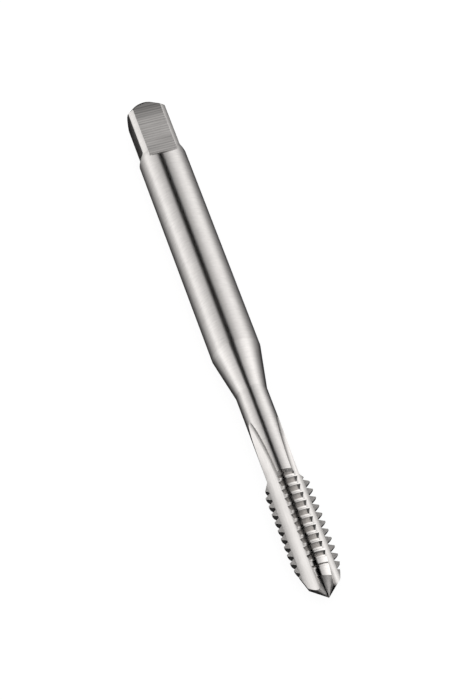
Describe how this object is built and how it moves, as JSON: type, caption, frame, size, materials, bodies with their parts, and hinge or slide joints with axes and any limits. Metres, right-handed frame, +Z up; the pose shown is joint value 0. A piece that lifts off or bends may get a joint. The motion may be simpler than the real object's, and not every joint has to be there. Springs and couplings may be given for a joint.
{
  "type": "thread tap",
  "caption": "Machine tap with straight flutes, a reduced neck, a plain round shank and a square drive end, for cutting a right-hand internal thread.",
  "frame": {"origin": "middle of the tap's length, on the surface that it lies on, under its axis", "axes": "+X along the axis from the point to the drive square, +Z up, square to one flat of the drive square"},
  "size_m": [0.083, 0.007, 0.007],
  "materials": {
    "ground_steel": "bright ground high-speed steel"
  },
  "bodies": {
    "root": {"thread_tap": "ground_steel"}
  },
  "joints": []
}
